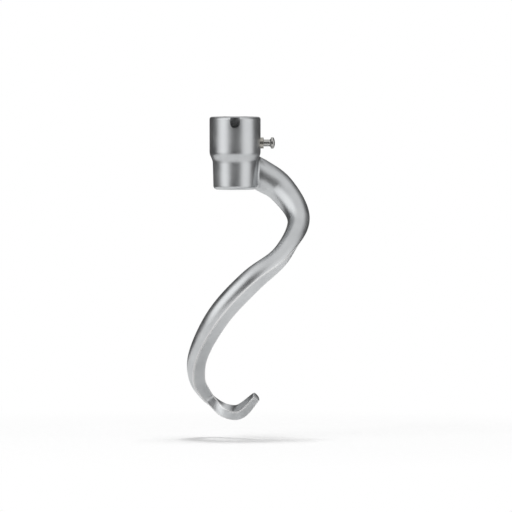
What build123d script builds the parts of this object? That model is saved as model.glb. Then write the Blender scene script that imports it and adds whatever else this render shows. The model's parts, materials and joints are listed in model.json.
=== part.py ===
"""Stand mixer dough hook: a cast spiral hook with a socket hub and a spring-loaded side lock pin.

Millimetres. +Z is up the shaft, the origin is the middle of the socket's mouth, the lock pin
is on the +X side and the drive notch faces -Y.
"""

import os
from math import cos, radians, sin

from build123d import *

# Hub: a straight head, a soft shoulder and a slightly drafted neck.
hub_d = 40.0
head_height = 28.8
shoulder_height = 6.0
neck_length = 22.2
neck_d = 35.0
foot_d = 33.8
top_round = 2.0
shoulder_round = 8.0
foot_round = 3.2

# Socket for the mixer's shaft: two lands with a relief between them at the lock pin.
shaft_d = 19.0
shaft_clearance = 0.05
socket_depth = 45.0
mouth_chamfer = 0.7
land_length = 13.5
relief_length = 14.0
relief_depth = 0.6

# Drive notch in the front wall, for the cross pin of the mixer's shaft.
drive_pin_d = 7.0
drive_clearance = 0.2
notch_depth = 8.7

# Lock pin, its bush, spring and pull knob, all on one axis across the hub.
pin_drop = 20.5
nose_d = 4.5
nose_reach = 2.4
nose_edge = 0.8
shoulder_d = 6.2
shoulder_thickness = 1.3
shoulder_gap = 0.2
stem_d = 3.0
sliding_clearance = 0.05
seat_d = 9.6
seat_cut = 0.7
collar_d = 8.7
collar_rise = 2.4
bush_d = 7.0
bush_length = 2.4
bush_end_wall = 1.4
collar_edge = 0.3
pocket_floor = 2.2
spring_bore_d = 5.6
spring_d = 5.2
spring_wire_d = 0.5
spring_turns = 6
wire_sides = 8
spring_gap = 0.05
knob_neck_d = 5.5
knob_neck_length = 5.6
knob_flare = 1.1
knob_d = 9.0
knob_rim = 2.1
knob_dome = 1.1
knob_edge = 0.4
tail_length = 6.0
tail_end_gap = 0.2
tail_clearance = 0.02

# Arm: how far it drops below the neck's top, how far its bends swing out from the shaft's axis, and
# its rounded edges and hub seam.
arm_drop = 195.7
bend_reach = 50.2
tail_reach = 29.0
toe_reach = 16.7
edge_round = 0.7
seam_round = 2.5
section_count = 36

# How far a cut runs past the face it opens.
overcut = 1.0

# Stations down the arm, each (x, y, share of the drop, half width, nose, back, roll). The section is a
# round back and two flats that meet in a nose; roll turns the nose from inside to front.
stations = [
    (6.7, 5.5, 0.010, 10.2, 5.5, 5.5, -90),
    (18.4, 8.6, 0.050, 12.3, 8.6, 8.6, -90),
    (36.8, 8.0, 0.115, 11.2, 9.8, 9.4, -88),
    (bend_reach, -6.0, 0.236, 9.1, 9.4, 8.9, -72),
    (37.0, -28.0, 0.368, 8.2, 8.8, 7.9, -31),
    (13.3, -40.0, 0.473, 9.0, 9.0, 10.2, -8),
    (-11.3, -37.2, 0.611, 8.6, 8.6, 10.3, -4),
    (-27.6, -20.7, 0.763, 7.6, 7.6, 8.5, 6),
    (-tail_reach, -3.8, 0.865, 6.9, 6.9, 7.5, 36),
    (-23.4, 7.6, 0.932, 6.3, 6.2, 4.5, 40),
    (-17.0, 9.2, 0.966, 6.0, 4.8, 3.3, 42),
    (-7.4, 4.4, 0.999, 6.3, 4.2, 3.2, 66),
    (4.0, -6.7, 1.000, 6.2, 4.0, 3.1, 78),
    (toe_reach, -20.0, 0.937, 4.2, 4.1, 2.4, 70),
]
# The arm is lofted past its toe and cut back, so the surface runs true up to the end.
stations.append(tuple(2 * a - b for a, b in zip(stations[-1], stations[-2])))
toe_u = (len(stations) - 2) / (len(stations) - 1)

hub_r = hub_d / 2
neck_top_z = -head_height - shoulder_height
hub_foot_z = neck_top_z - neck_length
bore_r = shaft_d / 2 + shaft_clearance
relief_r = bore_r + relief_depth
notch_w = drive_pin_d + 2 * drive_clearance
seat_x = hub_r - seat_cut
collar_x = hub_r + collar_rise
pocket_x = relief_r + pocket_floor
shoulder_x = pocket_x + shoulder_gap
stem_x = shoulder_x + shoulder_thickness
spring_seat_x = collar_x - bush_end_wall
knob_x = collar_x + knob_neck_length


def between(column, u):
    """The value of one station column at u, from 0 to 1, on a smooth curve through the stations."""
    last = len(stations) - 1
    i = min(int(u * last), last - 1)
    t = u * last - i
    p = [stations[min(max(k, 0), last)][column] for k in range(i - 1, i + 3)]
    rise_in = (p[2] - p[0]) / 2
    rise_out = (p[3] - p[1]) / 2
    hold = (1 + 2 * t) * (1 - t) ** 2 * p[1] + t * t * (3 - 2 * t) * p[2]
    return hold + t * (1 - t) ** 2 * rise_in - t * t * (1 - t) * rise_out


def spot(u):
    """The arm's middle line at u."""
    return Vector(between(0, u), between(1, u), neck_top_z - arm_drop * between(2, u))


def section_plane(u):
    """The plane across the arm at u: x to its outer side, y to its front, z back up the arm."""
    step = 0.002
    along = (spot(min(u + step, 1)) - spot(max(u - step, 0))).normalized()
    front = Vector(0, -1, 0)
    front = (front - along * front.dot(along)).normalized()
    return Plane(origin=spot(u), x_dir=along.cross(front), z_dir=-along)


# Arm: sections across a smooth line, lofted in one run from inside the hub to past the toe. A disc much
# wider than the section then cuts the overrun off.
with BuildPart() as arm:
    for i in range(section_count):
        u = i / (section_count - 1)
        half, nose, back = between(3, u), between(4, u), between(5, u)
        c, s = cos(radians(between(6, u))), sin(radians(between(6, u)))
        with BuildSketch(section_plane(u)):
            with BuildLine():
                Line((-half * s, -half * c), (-nose * c, nose * s))
                Line((-nose * c, nose * s), (half * s, half * c))
                ThreePointArc((half * s, half * c), (back * c, -back * s), (-half * s, -half * c))
            make_face()
            fillet(vertices(), edge_round)
    loft()
    with BuildSketch(section_plane(toe_u)):
        Circle(4 * between(3, toe_u))
    extrude(amount=-2 * (spot(1) - spot(toe_u)).length, mode=Mode.SUBTRACT)

# Casting: the hub, the arm with its seam, the socket, the notch and the lock pin's seat.
with BuildPart() as hook_casting:
    with BuildSketch(Plane.XZ):
        rim = (hub_r, 0)
        head_foot = (hub_r, -head_height)
        neck_top = (neck_d / 2, neck_top_z)
        foot = (foot_d / 2, hub_foot_z)
        with BuildLine():
            Polyline((0, 0), rim, head_foot, neck_top, foot, (0, hub_foot_z), close=True)
        make_face()
        rounds = {rim: top_round, head_foot: shoulder_round, neck_top: shoulder_round, foot: foot_round}
        for corner, size in rounds.items():
            fillet(vertices().sort_by_distance(corner)[0], size)
    revolve(axis=Axis.Z)

    # The arm runs into the hub with a rounded seam.
    add(arm.part)
    seam = edges().filter_by(GeomType.BSPLINE)
    seam = seam.filter_by(lambda e: e.bounding_box().max.X < hub_r and e.center().Z > hub_foot_z)
    fillet(seam, seam_round)

    # Socket: a blind bore, relieved round the lock pin, with a chamfered mouth.
    with BuildSketch(Plane.XZ):
        with BuildLine():
            Polyline(
                (0, 0),
                (bore_r + mouth_chamfer, 0),
                (bore_r, -mouth_chamfer),
                (bore_r, -land_length),
                (relief_r, -land_length - relief_depth),
                (relief_r, -land_length - relief_length + relief_depth),
                (bore_r, -land_length - relief_length),
                (bore_r, -socket_depth),
                (0, -socket_depth - bore_r / 3),
                close=True,
            )
        make_face()
    revolve(axis=Axis.Z, mode=Mode.SUBTRACT)

    # Drive notch through the front wall only, with a full round at its bottom.
    with BuildSketch(Plane.XZ):
        with Locations((0, -notch_depth + notch_w / 2)):
            Circle(notch_w / 2)
        with Locations((0, 0)):
            Rectangle(notch_w, 2 * notch_depth - notch_w)
    extrude(amount=hub_r + overcut, mode=Mode.SUBTRACT)

    # Lock pin: a flat seat for the collar, a pocket for the bush and a hole for the nose.
    with BuildSketch(Plane.YZ.offset(seat_x)):
        with Locations((0, -pin_drop)):
            Circle(seat_d / 2)
    extrude(amount=seat_cut + overcut, mode=Mode.SUBTRACT)
    with BuildSketch(Plane.YZ.offset(pocket_x)):
        with Locations((0, -pin_drop)):
            Circle(bush_d / 2)
    extrude(amount=seat_x - pocket_x + overcut, mode=Mode.SUBTRACT)
    with BuildSketch(Plane.YZ):
        with Locations((0, -pin_drop)):
            Circle(nose_d / 2 + sliding_clearance)
    extrude(amount=pocket_x + overcut, mode=Mode.SUBTRACT)

pin_axis = Axis((0, 0, -pin_drop), (1, 0, 0))
pin_plane = Plane(origin=(0, 0, -pin_drop), x_dir=(1, 0, 0), z_dir=(0, -1, 0))

# Bush: a collar on the hub's flat and a short sleeve that houses the spring.
with BuildPart() as plunger_bush:
    with BuildSketch(pin_plane):
        with BuildLine():
            hole_r = stem_d / 2 + sliding_clearance
            Polyline(
                (seat_x - bush_length, spring_bore_d / 2),
                (seat_x - bush_length, bush_d / 2),
                (seat_x, bush_d / 2),
                (seat_x, collar_d / 2),
                (collar_x - collar_edge, collar_d / 2),
                (collar_x, collar_d / 2 - collar_edge),
                (collar_x, hole_r),
                (spring_seat_x, hole_r),
                (spring_seat_x, spring_bore_d / 2),
                close=True,
            )
        make_face()
    revolve(axis=pin_axis)

# Lock pin: the nose in the socket, a shoulder for the spring, and a stem out to the knob.
with BuildPart() as lock_pin:
    with BuildSketch(pin_plane):
        tip = (bore_r - nose_reach, nose_d / 2)
        with BuildLine():
            Polyline(
                (tip[0], 0),
                tip,
                (shoulder_x, nose_d / 2),
                (shoulder_x, shoulder_d / 2),
                (stem_x, shoulder_d / 2),
                (stem_x, stem_d / 2),
                (collar_x + tail_length, stem_d / 2),
                (collar_x + tail_length, 0),
                close=True,
            )
        make_face()
        chamfer(vertices().sort_by_distance(tip)[0], nose_edge)
    revolve(axis=pin_axis)

# Spring: an open coil between the pin's shoulder and the bush's end wall.
with BuildPart() as return_spring:
    coil_start = stem_x + spring_gap + spring_wire_d / 2
    coil_end = spring_seat_x - spring_gap - spring_wire_d / 2
    with BuildLine() as coil:
        Helix(
            pitch=(coil_end - coil_start) / spring_turns,
            height=coil_end - coil_start,
            radius=(spring_d - spring_wire_d) / 2,
            center=(coil_start, 0, -pin_drop),
            direction=(1, 0, 0),
        )
    with BuildSketch(Plane(origin=coil.line @ 0, z_dir=coil.line % 0)):
        RegularPolygon(spring_wire_d / 2, wire_sides)
    sweep(path=coil.line, is_frenet=True)

# Knob: a necked grip with a rim and a shallow dome, pressed on the pin's stem.
with BuildPart() as pull_knob:
    with BuildSketch(pin_plane):
        flare = (knob_x, knob_neck_d / 2)
        rim_back = (knob_x, knob_d / 2)
        rim_front = (knob_x + knob_rim, knob_d / 2)
        crown = (knob_x + knob_rim + knob_dome, 0)
        dome_r = ((knob_d / 2) ** 2 + knob_dome**2) / (2 * knob_dome)
        socket_r = stem_d / 2 + tail_clearance
        socket_x = collar_x + tail_length + tail_end_gap
        with BuildLine():
            Polyline((socket_x, 0), (socket_x, socket_r), (collar_x, socket_r))
            Polyline((collar_x, socket_r), (collar_x, knob_neck_d / 2), flare, rim_back, rim_front)
            RadiusArc(rim_front, crown, dome_r)
            Line(crown, (socket_x, 0))
        make_face()
        fillet(vertices().sort_by_distance(flare)[0], knob_flare)
        chamfer([vertices().sort_by_distance(p)[0] for p in (rim_back, rim_front)], knob_edge)
    revolve(axis=pin_axis)

hook_casting.part.label = "hook_casting"
plunger_bush.part.label = "plunger_bush"
lock_pin.part.label = "lock_pin"
return_spring.part.label = "return_spring"
pull_knob.part.label = "pull_knob"

os.makedirs("parts", exist_ok=True)
export_step(hook_casting.part, "parts/hook_casting.step")
export_step(plunger_bush.part, "parts/plunger_bush.step")
export_step(lock_pin.part, "parts/lock_pin.step")
export_step(return_spring.part, "parts/return_spring.step")
export_step(pull_knob.part, "parts/pull_knob.step")
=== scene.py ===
# %% [markdown]
# # A stand mixer's dough hook
# The real part is a casting in aluminium: a hub with a socket for the mixer's shaft, and one arm that
# swings round the axis in a spiral. A steel pin in the hub's side, pulled by a small knob and pushed
# home by a spring, keeps the hook on the shaft. The solids come from the CAD model, already in place
# and at their real size. This lesson makes the arm again as an even net that bare metal looks good on,
# winds the spring, gives each piece its finish, and builds a studio that lets metal look like metal on
# white.

# %% Load the solids
import json
import math

import bmesh
import bpy
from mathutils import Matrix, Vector
from mathutils.geometry import barycentric_transform


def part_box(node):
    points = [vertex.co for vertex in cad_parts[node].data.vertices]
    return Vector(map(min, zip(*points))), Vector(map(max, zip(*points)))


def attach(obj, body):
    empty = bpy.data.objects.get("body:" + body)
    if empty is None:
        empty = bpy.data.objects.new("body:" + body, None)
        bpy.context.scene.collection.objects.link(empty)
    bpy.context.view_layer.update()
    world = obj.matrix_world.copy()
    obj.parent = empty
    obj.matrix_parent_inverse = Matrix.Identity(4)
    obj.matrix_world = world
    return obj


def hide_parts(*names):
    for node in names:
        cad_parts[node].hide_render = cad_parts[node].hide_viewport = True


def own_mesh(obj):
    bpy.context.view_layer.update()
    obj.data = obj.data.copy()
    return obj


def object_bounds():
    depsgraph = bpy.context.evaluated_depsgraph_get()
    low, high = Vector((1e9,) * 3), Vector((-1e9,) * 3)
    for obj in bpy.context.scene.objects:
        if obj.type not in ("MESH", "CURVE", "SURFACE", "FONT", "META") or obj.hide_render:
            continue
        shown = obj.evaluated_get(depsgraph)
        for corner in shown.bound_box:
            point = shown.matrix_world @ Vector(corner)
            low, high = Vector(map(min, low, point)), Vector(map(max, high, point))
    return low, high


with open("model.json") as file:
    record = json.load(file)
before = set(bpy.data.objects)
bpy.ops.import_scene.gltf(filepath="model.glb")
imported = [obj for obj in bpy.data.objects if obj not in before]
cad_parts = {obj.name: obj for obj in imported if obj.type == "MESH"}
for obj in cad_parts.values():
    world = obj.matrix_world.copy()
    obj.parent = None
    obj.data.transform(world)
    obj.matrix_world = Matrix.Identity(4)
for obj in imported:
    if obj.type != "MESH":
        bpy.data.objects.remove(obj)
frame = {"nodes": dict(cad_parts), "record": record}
cad_low, cad_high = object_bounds()
mm = 0.001
print("pieces:", sorted(frame["nodes"]))
print("size in mm:", [round(v / mm, 1) for v in cad_high - cad_low])

# %% [markdown]
# Colours are easiest to pick as the hex values that a screen shows, but shaders add light in linear
# values. One function turns the first into the second. Node trees are long when every node takes four
# lines, so one more small function adds a node, sets it up and links it in a single call.


# %% Two helpers
def linear(hex_colour):
    """An sRGB hex colour such as "b8babc" as the linear RGBA that a shader wants."""
    parts = [int(hex_colour[i:i + 2], 16) / 255 for i in (0, 2, 4)]
    return [c / 12.92 if c <= 0.04045 else ((c + 0.055) / 1.055) ** 2.4 for c in parts] + [1.0]


def add(tree, kind, inputs, **settings):
    """Adds a node. inputs maps socket names or numbers to a value, to another node's output, or to
    a node, whose first output is then used."""
    node = tree.nodes.new(kind)
    for name, value in settings.items():
        setattr(node, name, value)
    for name, value in inputs.items():
        source = value.outputs[0] if isinstance(value, bpy.types.Node) else value
        if isinstance(source, bpy.types.NodeSocket):
            tree.links.new(source, node.inputs[name])
        else:
            node.inputs[name].default_value = source
    return node


print("helpers ready, mid grey is", [round(v, 3) for v in linear("808080")])

# %% [markdown]
# Two pieces are made by Geometry Nodes: the arm and the spring. Both need the same handling. A tree gets
# named inputs, it runs as a modifier on a short-lived object, and its result is turned into a plain mesh.
# A modifier knows its inputs by identifiers, not by the names that people read, so those are looked up.


# %% Helpers for node trees that make a mesh
def new_mesh_tree(name, inputs, output):
    """A Geometry Nodes tree with named inputs, and the outputs of its Group Input node."""
    tree = bpy.data.node_groups.new(name, "GeometryNodeTree")
    for label, kind in inputs.items():
        tree.interface.new_socket(label, in_out="INPUT", socket_type="NodeSocket" + kind)
    tree.interface.new_socket(output, in_out="OUTPUT", socket_type="NodeSocketGeometry")
    return tree, add(tree, "NodeGroupInput", {}).outputs


def put_in_scene(name, data):
    """A new object at the origin, linked to the scene."""
    thing = bpy.data.objects.new(name, data)
    bpy.context.scene.collection.objects.link(thing)
    return thing


def mesh_from_tree(tree, start, choices):
    """Runs a tree on a start mesh with the chosen inputs and returns the result as a plain mesh."""
    blank = put_in_scene(tree.name, start)
    modifier = blank.modifiers.new(tree.name, "NODES")
    modifier.node_group = tree
    for item in tree.interface.items_tree:
        if item.name in choices:
            modifier[item.identifier] = choices[item.name]
    bpy.context.view_layer.update()
    evaluated = blank.evaluated_get(bpy.context.evaluated_depsgraph_get())
    mesh = bpy.data.meshes.new_from_object(evaluated)
    bpy.data.objects.remove(blank)
    return mesh


# %% [markdown]
# Some places are read from the CAD model, so that the finishes and the spring follow it: the pin's axis is
# the middle of the knob, the spring fills the box of its own solid, and the record gives the socket's
# radius.

# %% Places on the hook
knob_low, knob_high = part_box("pull_knob")
spring_low, spring_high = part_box("return_spring")
pin_z = (knob_low.z + knob_high.z) / 2
mounts = {mount["name"]: mount for mount in frame["record"]["mounts"]}
socket_radius = mounts["shaft_socket"]["dims"]["r_mm"] * mm

# %% [markdown]
# ## The spiral arm
# The arm has one rule: a wedge-shaped section, two flats that meet in a ridge and a round back, that
# travels down a smooth line and turns as it goes. The CAD model hands over the same shape as thousands
# of uneven triangles, and bare metal shows every one of them. So the arm is made again as an even net
# of quads, and the hub is kept from the CAD mesh. The stations are those of the CAD model: where the
# middle line passes, how wide the section is, and how far it is rolled. One more station, in line with
# the last two, lets the line run straight out at the toe.

# %% Stations down the arm
neck_top = -34.8 * mm
stations = [  # x, y, z from the neck's top, half width, ridge, back, all in mm, and roll in degrees
    (6.7, 5.5, -2.0, 10.2, 5.5, 5.5, -90),
    (18.4, 8.6, -9.7, 12.3, 8.6, 8.6, -90),
    (36.8, 8.0, -22.5, 11.2, 9.8, 9.4, -88),
    (50.2, -6.0, -46.2, 9.1, 9.4, 8.9, -72),
    (37.0, -28.0, -72.0, 8.2, 8.8, 7.9, -31),
    (13.3, -40.0, -92.6, 9.0, 9.0, 10.2, -8),
    (-11.3, -37.2, -119.5, 8.6, 8.6, 10.3, -4),
    (-27.6, -20.7, -149.4, 7.6, 7.6, 8.5, 6),
    (-29.0, -3.8, -169.3, 6.9, 6.9, 7.5, 36),
    (-23.4, 7.6, -182.4, 6.3, 6.2, 4.5, 40),
    (-17.0, 9.2, -189.1, 6.0, 4.8, 3.3, 42),
    (-7.4, 4.4, -195.5, 6.3, 4.2, 3.2, 66),
    (4.0, -6.7, -195.7, 6.2, 4.0, 3.1, 78),
    (16.7, -20.0, -183.4, 4.2, 4.1, 2.4, 70),
]
toe = len(stations) - 1
stations.append(tuple(2 * a - b for a, b in zip(stations[toe], stations[toe - 1])))
places = [(x * mm, y * mm, z * mm + neck_top) for x, y, z, *_ in stations]
line = bpy.data.meshes.new("arm_stations")
line.from_pydata(places, [(i, i + 1) for i in range(len(places) - 1)], [])
line.attributes.new("section", "FLOAT_VECTOR", "POINT")
line.attributes.new("roll", "FLOAT", "POINT")
for i, (*_, half_width, to_ridge, to_back, degrees) in enumerate(stations):
    line.attributes["section"].data[i].vector = (half_width * mm, to_ridge * mm, to_back * mm)
    line.attributes["roll"].data[i].value = math.radians(degrees)
print("stations:", len(stations), "with the last one past the toe")

# %% [markdown]
# A Geometry Nodes tree turns the stations into the net. First a Catmull-Rom spline runs through them and
# carries the section's sizes and its roll along. It becomes a row of points, a few for each station.

# %% The arm's tree: its inputs and the middle line
arm, ask = new_mesh_tree("spiral_arm", {
    "Stations": "Geometry", "Rows per Station": "Int", "First Row": "Int", "Last Row": "Int",
    "Edge Support": "Float", "Smoothing": "Int", "Finish": "Material"}, "Arm")
curve = add(arm, "GeometryNodeMeshToCurve", {"Mesh": ask["Stations"]})
bent = add(arm, "GeometryNodeCurveSplineType", {"Curve": curve}, spline_type="CATMULL_ROM")
fine = add(arm, "GeometryNodeSetSplineResolution", {"Geometry": bent, "Resolution": ask["Rows per Station"]})
points = add(arm, "GeometryNodeCurveToPoints", {"Curve": fine}, mode="EVALUATED")
print("middle line:", len(arm.nodes), "nodes")

# %% [markdown]
# A grid then becomes the skin: its rows are places on the spline, and its columns go round the section.
# The first columns are the first flat, the next ones the second flat, and the rest the round back. A
# vertex finds its row and column from its number. The grid has one column more than the section, which
# lies on the first and closes the tube.

# %% The arm's tree: rows and columns
flat_columns = 4
arc_columns = 25
around = 2 * flat_columns + arc_columns
span = add(arm, "FunctionNodeIntegerMath", {0: ask["Last Row"], 1: ask["First Row"]}, operation="SUBTRACT")
rows = add(arm, "FunctionNodeIntegerMath", {0: span, 1: 1}, operation="ADD")
grid = add(arm, "GeometryNodeMeshGrid", {"Vertices X": rows, "Vertices Y": around + 1})
index = add(arm, "GeometryNodeInputIndex", {})
row = add(arm, "FunctionNodeIntegerMath", {0: index, 1: around + 1}, operation="DIVIDE_FLOOR")
spot = add(arm, "FunctionNodeIntegerMath", {0: row, 1: ask["First Row"]}, operation="ADD")
grid_column = add(arm, "FunctionNodeIntegerMath", {0: index, 1: around + 1}, operation="MODULO")
column = add(arm, "FunctionNodeIntegerMath", {0: grid_column, 1: around}, operation="MODULO")
print("columns round the section:", around)

# %% [markdown]
# Each vertex asks the row of points what the spline says at its row: the place, the direction, the
# section's three sizes and the roll.

# %% The arm's tree: what the middle line says
section = add(arm, "GeometryNodeInputNamedAttribute", {"Name": "section"}, data_type="FLOAT_VECTOR")
roll = add(arm, "GeometryNodeInputNamedAttribute", {"Name": "roll"}, data_type="FLOAT")
fields = {
    "place": (add(arm, "GeometryNodeInputPosition", {}), "FLOAT_VECTOR"),
    "along": (points.outputs["Tangent"], "FLOAT_VECTOR"),
    "section": (section, "FLOAT_VECTOR"),
    "roll": (roll, "FLOAT"),
}
at_row = {}
for name, (field, kind) in fields.items():
    at_row[name] = add(arm, "GeometryNodeSampleIndex", {"Geometry": points, "Value": field, "Index": spot},
                       data_type=kind)
size = add(arm, "ShaderNodeSeparateXYZ", {0: at_row["section"]}).outputs
half, ridge, back = size["X"], size["Y"], size["Z"]
print("read at each row:", list(at_row))

# %% [markdown]
# The section is drawn flat first. Two straight lines run from the front edge to the ridge and from the
# ridge to the rear edge. Each has columns at its start, at its middle and close to both ends. The ones
# close to an edge keep that edge tight when the net is subdivided.

# %% The arm's tree: two flats
front_edge = add(arm, "ShaderNodeCombineXYZ", {"Y": half})
rear_edge = add(arm, "ShaderNodeVectorMath", {0: front_edge, "Scale": -1.0}, operation="SCALE")
ridge_out = add(arm, "ShaderNodeMath", {0: ridge, 1: -1.0}, operation="MULTIPLY")
ridge_edge = add(arm, "ShaderNodeCombineXYZ", {"X": ridge_out})
length = add(arm, "ShaderNodeVectorMath", {0: front_edge, 1: ridge_edge}, operation="DISTANCE")
near = add(arm, "ShaderNodeMath", {0: ask["Edge Support"], 1: length.outputs["Value"]}, operation="DIVIDE")
far = add(arm, "ShaderNodeMath", {0: 1.0, 1: near}, operation="SUBTRACT")
step = add(arm, "FunctionNodeIntegerMath", {0: column, 1: flat_columns}, operation="MODULO")
share = add(arm, "GeometryNodeIndexSwitch", {}, data_type="FLOAT")
while len(share.index_switch_items) < flat_columns:
    share.index_switch_items.new()
arm.links.new(step.outputs[0], share.inputs["Index"])
start_slot, near_slot, middle_slot, far_slot = list(share.inputs)[1:1 + flat_columns]
start_slot.default_value = 0.0
middle_slot.default_value = 0.5
arm.links.new(near.outputs[0], near_slot)
arm.links.new(far.outputs[0], far_slot)
first_flat = add(arm, "ShaderNodeMix", {0: share, 4: front_edge, 5: ridge_edge}, data_type="VECTOR")
second_flat = add(arm, "ShaderNodeMix", {0: share, 4: ridge_edge, 5: rear_edge}, data_type="VECTOR")
print("flats done:", len(arm.nodes), "nodes so far")

# %% [markdown]
# The back is the arc through both edges and the back's crown. With half a chord h and a rise b, its radius
# is (h * h + b * b) / (2 * b). A spoke of that length swings from the rear edge to the front edge, and
# again the columns next to the two edges stay close to them.

# %% The arm's tree: the round back
half_squared = add(arm, "ShaderNodeMath", {0: half, 1: 2.0}, operation="POWER")
both_squared = add(arm, "ShaderNodeMath", {0: back, 1: back, 2: half_squared}, operation="MULTIPLY_ADD")
twice_back = add(arm, "ShaderNodeMath", {0: back, 1: 2.0}, operation="MULTIPLY")
radius = add(arm, "ShaderNodeMath", {0: both_squared, 1: twice_back}, operation="DIVIDE")
arc_centre = add(arm, "ShaderNodeMath", {0: back, 1: radius}, operation="SUBTRACT")
inset = add(arm, "ShaderNodeMath", {0: radius, 1: back}, operation="SUBTRACT")
sweep = add(arm, "ShaderNodeMath", {0: half, 1: inset}, operation="ARCTAN2")
arc = add(arm, "ShaderNodeMath", {0: sweep, 1: radius}, operation="MULTIPLY")
arc_near = add(arm, "ShaderNodeMath", {0: ask["Edge Support"], 1: arc}, operation="DIVIDE")
low = add(arm, "ShaderNodeMath", {0: arc_near, 1: -1.0}, operation="ADD")
high = add(arm, "ShaderNodeMath", {0: 1.0, 1: arc_near}, operation="SUBTRACT")
tick = add(arm, "FunctionNodeIntegerMath", {0: column, 1: 2 * flat_columns}, operation="SUBTRACT")
swing = add(arm, "ShaderNodeMapRange", {"Value": tick, "From Min": 1.0, "From Max": arc_columns - 1.0,
                                        "To Min": low, "To Max": high}, clamp=False)
at_edge = add(arm, "FunctionNodeCompare", {2: tick, 3: 0}, data_type="INT", operation="EQUAL")
swing_all = add(arm, "GeometryNodeSwitch", {"Switch": at_edge, "False": swing, "True": -1.0},
                input_type="FLOAT")
angle = add(arm, "ShaderNodeMath", {0: swing_all, 1: sweep}, operation="MULTIPLY")
spoke = add(arm, "ShaderNodeCombineXYZ", {"X": radius})
turned = add(arm, "ShaderNodeVectorRotate", {"Vector": spoke, "Angle": angle}, rotation_type="Z_AXIS")
arc_middle = add(arm, "ShaderNodeCombineXYZ", {"X": arc_centre})
round_back = add(arm, "ShaderNodeVectorMath", {0: turned, 1: arc_middle}, operation="ADD")
print("round back done:", len(arm.nodes), "nodes so far")

# %% [markdown]
# Each column takes its point from a flat or from the back. The section is then rolled, stood across the
# spline, and moved to its place there.

# %% The arm's tree: stand the sections on the line
on_first = add(arm, "FunctionNodeCompare", {2: column, 3: flat_columns}, data_type="INT",
               operation="LESS_THAN")
on_flat = add(arm, "FunctionNodeCompare", {2: column, 3: 2 * flat_columns}, data_type="INT",
              operation="LESS_THAN")
flats = add(arm, "GeometryNodeSwitch", {"Switch": on_first, "False": second_flat.outputs[1],
                                        "True": first_flat.outputs[1]}, input_type="VECTOR")
outline = add(arm, "GeometryNodeSwitch", {"Switch": on_flat, "False": round_back, "True": flats},
              input_type="VECTOR")
unroll = add(arm, "ShaderNodeMath", {0: at_row["roll"], 1: -1.0}, operation="MULTIPLY")
rolled = add(arm, "ShaderNodeVectorRotate", {"Vector": outline, "Angle": unroll}, rotation_type="Z_AXIS")
upward = add(arm, "ShaderNodeVectorMath", {0: at_row["along"], "Scale": -1.0}, operation="SCALE")
stance = add(arm, "FunctionNodeAxesToRotation", {0: upward, 1: (0, -1, 0)}, primary_axis="Z",
             secondary_axis="Y")
stood = add(arm, "FunctionNodeRotateVector", {0: rolled, 1: stance})
final = add(arm, "ShaderNodeVectorMath", {0: stood, 1: at_row["place"]}, operation="ADD")
skin = add(arm, "GeometryNodeSetPosition", {"Geometry": grid, "Position": final})
print("skin placed:", len(arm.nodes), "nodes so far")

# %% [markdown]
# The finish needs to know where the edges are, so the three edge columns get the value 1 in an attribute.
# The grid's last column is then welded to its first, and subdivision makes the net finer.

# %% The arm's tree: edges and a finer net
weld = 0.001 * mm
starts_flat = add(arm, "FunctionNodeCompare", {2: step, 3: 0}, data_type="INT", operation="EQUAL")
before_arc = add(arm, "FunctionNodeCompare", {2: column, 3: 2 * flat_columns}, data_type="INT",
                 operation="LESS_EQUAL")
is_edge = add(arm, "FunctionNodeBooleanMath", {0: starts_flat, 1: before_arc}, operation="AND")
noted = add(arm, "GeometryNodeStoreNamedAttribute", {"Geometry": skin, "Name": "edge", "Value": is_edge},
            data_type="FLOAT")
sealed = add(arm, "GeometryNodeMergeByDistance", {"Geometry": noted, "Distance": weld})
dense = add(arm, "GeometryNodeSubdivisionSurface", {"Mesh": sealed, "Level": ask["Smoothing"]})
real = add(arm, "GeometryNodeRealizeInstances", {"Geometry": dense})
dressed = add(arm, "GeometryNodeSetMaterial", {"Geometry": real, "Material": ask["Finish"]})
add(arm, "NodeGroupOutput", {0: dressed})
print("arm tree:", len(arm.nodes), "nodes")

# %% [markdown]
# ## Finishes
# Every piece of the hook is bare metal, so all finishes begin and end alike. A metal's shader has no
# colour under its gloss: its base colour tints what it reflects. What tells one metal from another is that
# tint, how rough the surface is, and the fine relief that its making left.


# %% Helpers for metals
def new_metal(name):
    """A bare metal and its node tree, with a shader that waits for its colour, gloss and relief."""
    material = bpy.data.materials.new(name)
    material.use_nodes = True
    material.node_tree.nodes["Principled BSDF"].inputs["Metallic"].default_value = 1.0
    return material, material.node_tree


def finish_metal(tree, colour, roughness, bump):
    """Links a metal's colour, roughness and relief to its shader."""
    shader = tree.nodes["Principled BSDF"]
    tree.links.new(colour.outputs[2], shader.inputs["Base Color"])
    tree.links.new(roughness.outputs[0], shader.inputs["Roughness"])
    tree.links.new(bump.outputs["Normal"], shader.inputs["Normal"])


print("materials so far:", len(bpy.data.materials))
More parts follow.
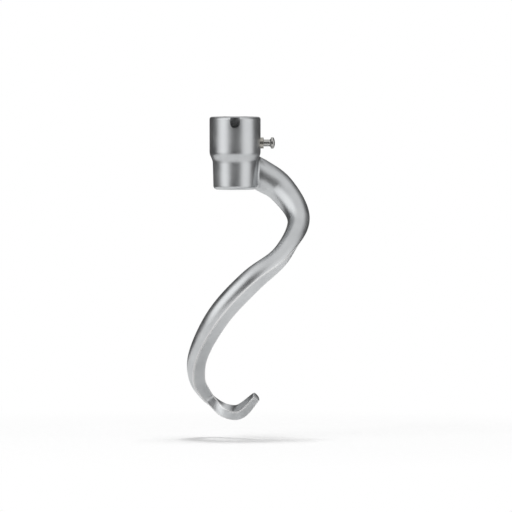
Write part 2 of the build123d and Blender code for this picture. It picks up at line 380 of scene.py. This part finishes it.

# %% [markdown]
# The hook is cast aluminium, trimmed on a belt and then tumbled with ceramic stones until it is smooth
# enough to let go of dough. That leaves a satin grey metal with a faint cloudiness and small nicks. Edges
# come out smoother because the stones hit them most, and their colour is painted lighter too: partly the
# polish, partly a painted highlight that draws them as lines. Corners are painted darker: painted shade
# where less light reaches, together with the duller metal that the stones cannot reach. Noise in real
# millimetres gives the clouds, the grain and the nicks, the net's own "edge" values give the edges, and
# ambient occlusion finds the corners.


# %% Burnished cast aluminium
def burnished_cast_aluminium():
    cloud_size = 14 * mm
    grain_size = 1.2 * mm
    nick_spacing = 6 * mm
    corner_reach = 6 * mm
    material, tree = new_metal("burnished_cast_aluminium")
    place = add(tree, "ShaderNodeTexCoord", {}).outputs["Object"]
    clouds = add(tree, "ShaderNodeTexNoise", {"Vector": place, "Scale": 1 / cloud_size, "Detail": 4.0})
    grain = add(tree, "ShaderNodeTexNoise", {"Vector": place, "Scale": 1 / grain_size, "Detail": 2.0})
    edge = add(tree, "ShaderNodeAttribute", {}, attribute_name="edge").outputs["Fac"]
    # Ambient occlusion, which paints shade into the corners below
    occlusion_for_painted_shade = add(tree, "ShaderNodeAmbientOcclusion", {"Distance": corner_reach}, samples=8,
                   only_local=True)

    # Nicks: small round dents, in about one cell of three
    cells = add(tree, "ShaderNodeTexVoronoi", {"Vector": place, "Scale": 1 / nick_spacing})
    dent = add(tree, "ShaderNodeMapRange", {"Value": cells.outputs["Distance"], "From Min": 0.02,
                                            "From Max": 0.08, "To Min": -1.0, "To Max": 0.0},
               interpolation_type="SMOOTHSTEP")
    draw = add(tree, "ShaderNodeSeparateColor", {"Color": cells.outputs["Color"]})
    hit = add(tree, "ShaderNodeMath", {0: draw.outputs["Red"], 1: 0.67}, operation="GREATER_THAN")
    nicks = add(tree, "ShaderNodeMath", {0: dent, 1: hit}, operation="MULTIPLY")
    relief = add(tree, "ShaderNodeMath", {0: grain, 1: 0.20, 2: nicks}, operation="MULTIPLY_ADD")
    bump = add(tree, "ShaderNodeBump", {"Height": relief, "Strength": 1.0, "Distance": 0.06 * mm})

    # Colour: clouds, then edges lightened by polish and a painted highlight, then corners darkened with
    # painted shade
    metal = add(tree, "ShaderNodeMix", {0: clouds, 6: linear("b0b2b4"), 7: linear("d0d2d3")},
                data_type="RGBA")
    # Edges lighter: partly polish, partly a painted highlight
    polish_and_painted_highlight = add(tree, "ShaderNodeMix", {0: edge, 6: metal.outputs[2], 7: linear("e0e0e0")},
                 data_type="RGBA")
    # Colour darker where ambient occlusion is low: painted shade in the corners
    reach = add(tree, "ShaderNodeMapRange", {"Value": occlusion_for_painted_shade.outputs["AO"], "From Min": 0.35,
                                             "From Max": 0.9})
    colour = add(tree, "ShaderNodeMix", {0: reach, 6: linear("7c7e80"), 7: polish_and_painted_highlight.outputs[2]},
                 data_type="RGBA")
    satin = add(tree, "ShaderNodeMapRange", {"Value": clouds, "From Min": 0.3, "From Max": 0.7,
                                             "To Min": 0.30, "To Max": 0.41})
    rough = add(tree, "ShaderNodeMix", {0: edge, 2: satin, 3: 0.26}, data_type="FLOAT")
    finish_metal(tree, colour, rough, bump)
    return material


aluminium = burnished_cast_aluminium()
print("finish:", aluminium.name, "with", len(aluminium.node_tree.nodes), "nodes")

# %% [markdown]
# The socket, the rim, the notch and the pin's seat are cut after casting, which leaves clean metal. The
# knob, the bush and the pin are steel from a lathe. Both kinds show fine rings round the axis that the work
# turned on, so one function makes them. A point's distance from an axis is the length of its cross product
# with the axis, its way along the axis is their dot product, and noise over the sum of the two gives rings
# on faces and walls alike. The real rings are too fine to see singly, so these are drawn wider.


# %% Metal with rings
def ringed_metal(name, colours, roughness, ring_pitch, axis, axis_height):
    dark, light = (linear(colour) for colour in colours)
    smoothest, roughest = roughness
    material, tree = new_metal(name)
    place = add(tree, "ShaderNodeTexCoord", {}).outputs["Object"]
    centred = add(tree, "ShaderNodeMapping", {"Vector": place, "Location": (0, 0, -axis_height)})
    across = add(tree, "ShaderNodeVectorMath", {0: centred, 1: axis}, operation="CROSS_PRODUCT")
    out = add(tree, "ShaderNodeVectorMath", {0: across}, operation="LENGTH")
    along = add(tree, "ShaderNodeVectorMath", {0: centred, 1: axis}, operation="DOT_PRODUCT")
    travel = add(tree, "ShaderNodeMath", {0: along.outputs["Value"], 1: out.outputs["Value"]},
                 operation="ADD")
    rings = add(tree, "ShaderNodeTexNoise", {"W": travel, "Scale": 1 / ring_pitch, "Detail": 2.0},
                noise_dimensions="1D")
    colour = add(tree, "ShaderNodeMix", {0: rings, 6: dark, 7: light}, data_type="RGBA")
    rough = add(tree, "ShaderNodeMapRange", {"Value": rings, "From Min": 0.3, "From Max": 0.7,
                                             "To Min": smoothest, "To Max": roughest})
    bump = add(tree, "ShaderNodeBump", {"Height": rings, "Strength": 0.12, "Distance": 0.02 * mm})
    finish_metal(tree, colour, rough, bump)
    return material


up_shaft = (0, 0, 1)
along_pin = (1, 0, 0)
machined = ringed_metal("machined_aluminium", ("a2a4a6", "b8b9ba"), (0.26, 0.32), 0.35 * mm, up_shaft, 0)
steels = {  # name, colours, roughness and the rings' pitch
    "pull_knob": ("polished_stainless_steel", ("a2a19e", "bab9b6"), (0.17, 0.27), 0.25 * mm),
    "plunger_bush": ("turned_stainless_steel", ("98958e", "b6b3ac"), (0.23, 0.33), 0.25 * mm),
    "lock_pin": ("ground_stainless_steel", ("919296", "a5a6aa"), (0.13, 0.23), 0.15 * mm),
}
for node, finish in steels.items():
    mesh = frame["nodes"][node].data
    mesh.materials.clear()
    mesh.materials.append(ringed_metal(*finish, along_pin, pin_z))
print("ringed metals:", [machined.name] + [finish[0] for finish in steels.values()])

# %% [markdown]
# ## The hook in one piece
# The tree now runs on the stations. The first rows lie inside the hub and are left out, so that the new
# arm begins just clear of it. The last row is at the toe.

# %% Grow the arm
rows_per_station = 6
first_clear_row = 11
edge_support = 1.25 * mm
arm_mesh = mesh_from_tree(arm, line, {
    "Rows per Station": rows_per_station, "First Row": first_clear_row, "Last Row": toe * rows_per_station,
    "Edge Support": edge_support, "Smoothing": 2, "Finish": aluminium})
print("arm:", len(arm_mesh.polygons), "quads")

# %% [markdown]
# The arm's net has two open rims. The one at the toe gets an end face with a small bevel, as the belt
# leaves it. The one at the hub shows where the arm begins and in which direction it runs.

# %% Close the toe
toe_reach = 20 * mm
toe_bevel = 0.35 * mm
toe_point = Vector(places[toe])
solid = bmesh.new()
solid.from_mesh(arm_mesh)
rims = {"toe": [], "hub": []}
for rim in [e for e in solid.edges if e.is_boundary]:
    near_toe = (rim.verts[0].co - toe_point).length < toe_reach
    rims["toe" if near_toe else "hub"].append(rim)
first_ring = list(dict.fromkeys(v for rim in rims["hub"] for v in rim.verts))
next_ring = [e.other_vert(v) for v in first_ring for e in v.link_edges if not e.is_boundary]
centre, beyond = (sum((v.co for v in ring), Vector()) / len(ring) for ring in (first_ring, next_ring))
down_arm = (beyond - centre).normalized()
bmesh.ops.edgeloop_fill(solid, edges=rims["toe"])
bmesh.ops.bevel(solid, geom=rims["toe"], offset=toe_bevel, segments=2, affect="EDGES", profile=0.5)
print("edges on the toe's rim and on the hub's:", [len(edges) for edges in rims.values()])

# %% [markdown]
# The hub comes from a copy of the CAD mesh. Its loose triangles are merged first, then a plane a little
# before the new arm's first ring cuts the old arm off, and a band of faces bridges the gap.

# %% Join hub and arm
gap = 3 * mm
hub = bmesh.new()
hub.from_mesh(frame["nodes"]["hook_casting"].data)
bmesh.ops.remove_doubles(hub, verts=hub.verts, dist=weld)
bmesh.ops.bisect_plane(hub, geom=hub.verts[:] + hub.edges[:] + hub.faces[:],
                       plane_co=centre - gap * down_arm, plane_no=down_arm, clear_outer=True)
hub_mesh = bpy.data.meshes.new("hub")
hub.to_mesh(hub_mesh)
hub.free()
solid.from_mesh(hub_mesh)
bmesh.ops.bridge_loops(solid, edges=[e for e in solid.edges if e.is_boundary])
bmesh.ops.recalc_face_normals(solid, faces=solid.faces)
still_open = sum(1 for e in solid.edges if not e.is_manifold)
hook_mesh = bpy.data.meshes.new("cast_hook")
solid.to_mesh(hook_mesh)
solid.free()
print("hook:", len(hook_mesh.polygons), "faces,", len(hub_mesh.polygons), "from the hub")
print("open edges:", still_open)

# %% [markdown]
# The hub's triangles are long and thin, and shading that is averaged from them shows streaks. The CAD
# mesh carries better normals, so each corner of the hub and of the band takes the one found at the nearest
# place on it. The search starts a little inside the face, so that a corner on a sharp edge finds its own
# side. On the straight wall of the hub's head the true normal is known: it points straight out from the
# axis. The arm's even net needs no such help and keeps its averaged normals.

# %% Better normals for the hub
head_radius = 20 * mm
wall_slack = 0.02 * mm
wall_facing = 0.95
band_slack = 0.1 * mm
search_inset = 0.02
sharp_angle = math.radians(35)
cad_hook = frame["nodes"]["hook_casting"]
cad_mesh = cad_hook.data


def cad_normal(spot):
    """The CAD mesh's smooth normal at the place nearest to a spot."""
    _, nearest, _, index = cad_hook.closest_point_on_mesh(spot)
    triangle = cad_mesh.polygons[index]
    corners = [cad_mesh.vertices[v].co for v in triangle.vertices]
    smooth = [cad_mesh.corner_normals[c].vector for c in triangle.loop_indices]
    return barycentric_transform(nearest, *corners, *smooth).normalized()


hook_mesh.shade_smooth()
hook_mesh.set_sharp_from_angle(angle=sharp_angle)
normals = [n.vector.copy() for n in hook_mesh.corner_normals]
taken = 0
for face in hook_mesh.polygons:
    for corner in face.loop_indices:
        point = hook_mesh.vertices[hook_mesh.loops[corner].vertex_index].co
        if (point - centre).dot(down_arm) > band_slack:
            continue
        outwards = Vector((point.x, point.y, 0))
        on_head = abs(outwards.length - head_radius) < wall_slack
        if on_head and face.normal.dot(outwards.normalized()) > wall_facing:
            normals[corner] = outwards.normalized()
        else:
            normals[corner] = cad_normal(point.lerp(face.center, search_inset))
        taken += 1
hook_mesh.normals_split_custom_set(normals)
print("corners with the CAD surface's normals:", taken, "of", len(normals))

# %% [markdown]
# Faces that a cutter made are found by where they are. They get the machined metal, the rest the cast
# one. Then the hook takes the place of its CAD solid.

# %% Dress the hook
# Limits that take in the cuts and leave out the cast walls beside them
groove_room = 1.45 * mm
socket_limit = socket_radius + groove_room
socket_floor = -50 * mm
rim_floor = -0.2 * mm
rim_facing = 0.99
notch_half_width = 3.75 * mm
notch_front, notch_rear, notch_floor = -19.9 * mm, -9 * mm, -8.8 * mm
seat_from, seat_to, seat_half_width = 9 * mm, 19.6 * mm, 5 * mm
hook_mesh.materials.clear()
hook_mesh.materials.append(aluminium)
hook_mesh.materials.append(machined)
for face in hook_mesh.polygons:
    x, y, z = face.center
    out = math.hypot(x, y)
    in_socket = out < socket_limit and z > socket_floor
    on_rim = face.normal.z > rim_facing and z > rim_floor
    in_notch = abs(x) < notch_half_width and notch_front < y < notch_rear and z > notch_floor
    beside_pin = abs(y) < seat_half_width and abs(z - pin_z) < seat_half_width
    in_seat = beside_pin and x > seat_from and out < seat_to
    face.material_index = int(in_socket or on_rim or in_notch or in_seat)
hook = put_in_scene("cast_hook", hook_mesh)
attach(hook, "hook")
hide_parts("hook_casting")
print("machined faces:", sum(f.material_index for f in hook_mesh.polygons))

# %% [markdown]
# ## The return spring
# The coil sits hidden between the pin's shoulder and the bush, and shows when the pieces are taken
# apart. A spiral becomes wire with a round section. Its end turns lie close together, as a compression
# spring's do, so that it stands square: a curve over the wire's length does that, slow at both ends. The
# place of each point on the wire's section is kept for the finish.

# %% The spring's tree
points_per_turn = 40
points_round_wire = 12
end_share, end_rise = 0.17, 0.085
coil, ask = new_mesh_tree("compression_spring", {
    "Coil Radius": "Float", "Wire Radius": "Float", "Length": "Float", "Turns": "Float",
    "Start": "Vector", "Finish": "Material"}, "Spring")
wire = add(coil, "GeometryNodeCurveSpiral", {"Resolution": points_per_turn, "Rotations": ask["Turns"],
                                             "Height": 0.0, "Start Radius": ask["Coil Radius"],
                                             "End Radius": ask["Coil Radius"]})
passed = add(coil, "GeometryNodeSplineParameter", {})
pitch = add(coil, "ShaderNodeFloatCurve", {"Value": passed.outputs["Factor"]})
for x, y in ((end_share, end_rise), (1 - end_share, 1 - end_rise)):
    pitch.mapping.curves[0].points.new(x, y)
pitch.mapping.update()
rise = add(coil, "ShaderNodeMath", {0: pitch, 1: ask["Length"]}, operation="MULTIPLY")
lift = add(coil, "ShaderNodeCombineXYZ", {"Z": rise})
wound = add(coil, "GeometryNodeSetPosition", {"Geometry": wire, "Offset": lift})
ring = add(coil, "GeometryNodeCurvePrimitiveCircle", {"Resolution": points_round_wire,
                                                      "Radius": ask["Wire Radius"]})
here = add(coil, "GeometryNodeInputPosition", {})
marked = add(coil, "GeometryNodeStoreNamedAttribute", {"Geometry": ring, "Name": "section_place",
                                                       "Value": here}, data_type="FLOAT_VECTOR")
swept = add(coil, "GeometryNodeCurveToMesh", {"Curve": wound, "Profile Curve": marked, "Fill Caps": True})
laid = add(coil, "GeometryNodeTransform", {"Geometry": swept, "Translation": ask["Start"],
                                           "Rotation": (0, math.pi / 2, 0)})
real = add(coil, "GeometryNodeRealizeInstances", {"Geometry": laid})
dressed = add(coil, "GeometryNodeSetMaterial", {"Geometry": real, "Material": ask["Finish"]})
add(coil, "NodeGroupOutput", {0: dressed})
print("spring tree:", len(coil.nodes), "nodes")

# %% [markdown]
# The wire is steel that was pulled through a die, which leaves fine lines along it. A point's place on the
# wire's section stays the same all along the wire, so noise over it makes lines that follow every turn.
# They are drawn wider than the real ones.


# %% Drawn wire
def drawn_spring_wire():
    line_pitch = 0.08 * mm
    material, tree = new_metal("drawn_spring_wire")
    place = add(tree, "ShaderNodeAttribute", {}, attribute_name="section_place").outputs["Vector"]
    lines = add(tree, "ShaderNodeTexNoise", {"Vector": place, "Scale": 1 / line_pitch, "Detail": 2.0})
    colour = add(tree, "ShaderNodeMix", {0: lines, 6: linear("75787d"), 7: linear("95989d")},
                 data_type="RGBA")
    rough = add(tree, "ShaderNodeMapRange", {"Value": lines, "From Min": 0.3, "From Max": 0.7,
                                             "To Min": 0.25, "To Max": 0.35})
    bump = add(tree, "ShaderNodeBump", {"Height": lines, "Strength": 0.2, "Distance": 0.01 * mm})
    finish_metal(tree, colour, rough, bump)
    return material


spring_wire = drawn_spring_wire()
print("finish:", spring_wire.name)

# %% [markdown]
# The coil is as long and as wide as its CAD solid.

# %% Wind the spring
wire_radius = 0.25 * mm
turns = 6.0
spring_length = spring_high.x - spring_low.x
spring_mesh = mesh_from_tree(coil, bpy.data.meshes.new("return_spring_coil"), {
    "Coil Radius": (spring_high.y - spring_low.y) / 2 - wire_radius, "Wire Radius": wire_radius,
    "Length": spring_length - 2 * wire_radius, "Turns": turns,
    "Start": (spring_low.x + wire_radius, 0, pin_z), "Finish": spring_wire})
spring_mesh.shade_smooth()
spring = put_in_scene("return_spring_coil", spring_mesh)
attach(spring, "hook")
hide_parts("return_spring")
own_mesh(spring)
print("spring:", len(spring_mesh.polygons), "faces")

# %% [markdown]
# ## Studio
# Bare metal has no colour of its own to show: it shows the room. The room is white, for the camera and for
# reflections alike, and a metal that sees white on every side looks flat. So the reflected room holds what
# a photographer sets round bare metal: two softboxes, brighter than white, that draw the long highlights,
# and three black flags, in front and to both sides behind, that draw the dark bands and keep the edges
# clear of the white background. Each is a soft patch round a direction. All other light is a plain, even
# glow.

# %% Room
white = 1.0
ambient = 0.55
flag = 0.10
patches = {  # direction, where the patch begins and is full (as a cosine), and brightness
    "front_flag": ((0.0, -1.0, 0.0), 0.70, 0.95, flag),
    "left_flag": ((-0.82, 0.57, 0.0), 0.40, 0.80, flag),
    "right_flag": ((0.82, 0.57, 0.0), 0.40, 0.80, flag),
    "left_softbox": ((-0.78, -0.50, 0.38), 0.72, 0.96, 1.60),
    "right_softbox": ((0.86, -0.50, 0.08), 0.80, 0.95, 1.25),
}
world = bpy.data.worlds.new("white_studio")
bpy.context.scene.world = world
world.use_nodes = True
room = world.node_tree
room.nodes.clear()
direction = add(room, "ShaderNodeTexCoord", {}).outputs["Generated"]
reflected = white
for facing, begins, full, strength in patches.values():
    towards = add(room, "ShaderNodeVectorMath", {0: direction, 1: Vector(facing).normalized()},
                  operation="DOT_PRODUCT")
    cover = add(room, "ShaderNodeMapRange", {"Value": towards.outputs["Value"], "From Min": begins,
                                             "From Max": full}, interpolation_type="SMOOTHSTEP")
    reflected = add(room, "ShaderNodeMix", {0: cover, 2: reflected, 3: strength}, data_type="FLOAT")
rays = add(room, "ShaderNodeLightPath", {}).outputs
mirrored = add(room, "ShaderNodeMix", {0: rays["Is Glossy Ray"], 2: ambient, 3: reflected},
               data_type="FLOAT")
straight = add(room, "ShaderNodeMath", {0: rays["Is Camera Ray"], 1: rays["Is Transmission Ray"]},
               operation="MAXIMUM")
seen = add(room, "ShaderNodeMix", {0: straight, 2: mirrored, 3: white}, data_type="FLOAT")
light = add(room, "ShaderNodeBackground", {"Color": linear("ffffff"), "Strength": seen})
add(room, "ShaderNodeOutputWorld", {"Surface": light})
print("reflected room:", list(patches))

# %% [markdown]
# The hook hangs a little above a round white table, which takes its soft shadow.

# %% Table
table_drop = 14 * mm
table_radius = 0.55
disc = bmesh.new()
bmesh.ops.create_circle(disc, cap_ends=True, segments=96, radius=table_radius)
bmesh.ops.translate(disc, verts=disc.verts, vec=(0, 0, cad_low.z - table_drop))
table_mesh = bpy.data.meshes.new("studio_table")
disc.to_mesh(table_mesh)
disc.free()
table = put_in_scene("studio_table", table_mesh)
print("table", round(table_drop / mm), "mm below the heel")

# %% [markdown]
# The table is covered with matt paper. Away from the hook the paper turns into plain white, so that the
# table's rim does not show against the white room. From below it is clear, so that the hook can be looked
# at from there too.

# %% White paper
paper_until, white_from = 0.10, 0.45
paper = bpy.data.materials.new("white_paper")
paper.use_nodes = True
sheet = paper.node_tree
matt = sheet.nodes["Principled BSDF"]
matt.inputs["Base Color"].default_value = linear("ececec")
matt.inputs["Roughness"].default_value = 0.9
matt.inputs["Specular IOR Level"].default_value = 0.0
place = add(sheet, "ShaderNodeTexCoord", {}).outputs["Object"]
across = add(sheet, "ShaderNodeVectorMath", {0: place, 1: (1, 1, 0)}, operation="MULTIPLY")
reach = add(sheet, "ShaderNodeVectorMath", {0: across}, operation="LENGTH")
fade = add(sheet, "ShaderNodeMapRange", {"Value": reach.outputs["Value"], "From Min": paper_until,
                                         "From Max": white_from}, interpolation_type="SMOOTHSTEP")
plain = add(sheet, "ShaderNodeEmission", {"Color": linear("ffffff"), "Strength": white})
blend = add(sheet, "ShaderNodeMixShader", {0: fade, 1: matt, 2: plain})
underside = add(sheet, "ShaderNodeNewGeometry", {}).outputs["Backfacing"]
clear = add(sheet, "ShaderNodeBsdfTransparent", {})
one_sided = add(sheet, "ShaderNodeMixShader", {0: underside, 1: blend, 2: clear})
sheet.links.new(one_sided.outputs[0], sheet.nodes["Material Output"].inputs["Surface"])
table_mesh.materials.append(paper)
print("paper fades to white from", paper_until, "to", white_from, "m")

# %% [markdown]
# The lamps are for the table: they light the paper and cast the shadow. A lamp in a reflection is a hard
# white spot, so the metal does not see them, and neither does the camera.

# %% Lamps
lamps = {  # place in metres, size, watts
    "key_softbox": ((-1.1, -1.2, 0.9), 1.0, 10.0),
    "fill_softbox": ((1.5, -0.9, 0.2), 1.2, 4.0),
    "top_softbox": ((0.1, 0.2, 1.5), 0.5, 15.0),
}
middle = (cad_low + cad_high) / 2
for name, (place, size, watts) in lamps.items():
    lamp = bpy.data.lights.new(name, "AREA")
    lamp.size = size
    lamp.energy = watts
    holder = put_in_scene(name, lamp)
    holder.location = place
    holder.rotation_euler = (middle - Vector(place)).to_track_quat("-Z", "Y").to_euler()
    holder.visible_camera = False
    holder.visible_glossy = False
print("lamps:", sorted(lamps))

# %% [markdown]
# ## Camera
# The drawing is almost a plain elevation, seen from about two degrees above: the far edge of the
# socket just shows. A very long lens gives that flat view. The picture is 512 pixels wide and one
# pixel is 0.783 mm at the hook's axis, which fixes the distance.

# %% Camera at the drawing's angle
frame_pixels = 512
mm_per_pixel = 0.7828
elevation = math.radians(2.0)
aim = Vector((16.4 * mm, 0, -109.0 * mm))
lens, sensor = 600.0, 36.0
distance = frame_pixels * mm_per_pixel * mm * lens / sensor
camera = bpy.data.cameras.new("long_lens")
camera.lens = lens
camera.sensor_width = sensor
camera.clip_end = 100.0
viewer = put_in_scene("camera", camera)
viewer.location = aim + distance * Vector((0, -math.cos(elevation), math.sin(elevation)))
viewer.rotation_euler = (math.pi / 2 - elevation, 0, 0)
bpy.context.scene.camera = viewer
bpy.context.scene.view_settings.view_transform = "Standard"
print("camera distance", round(distance, 2), "m")
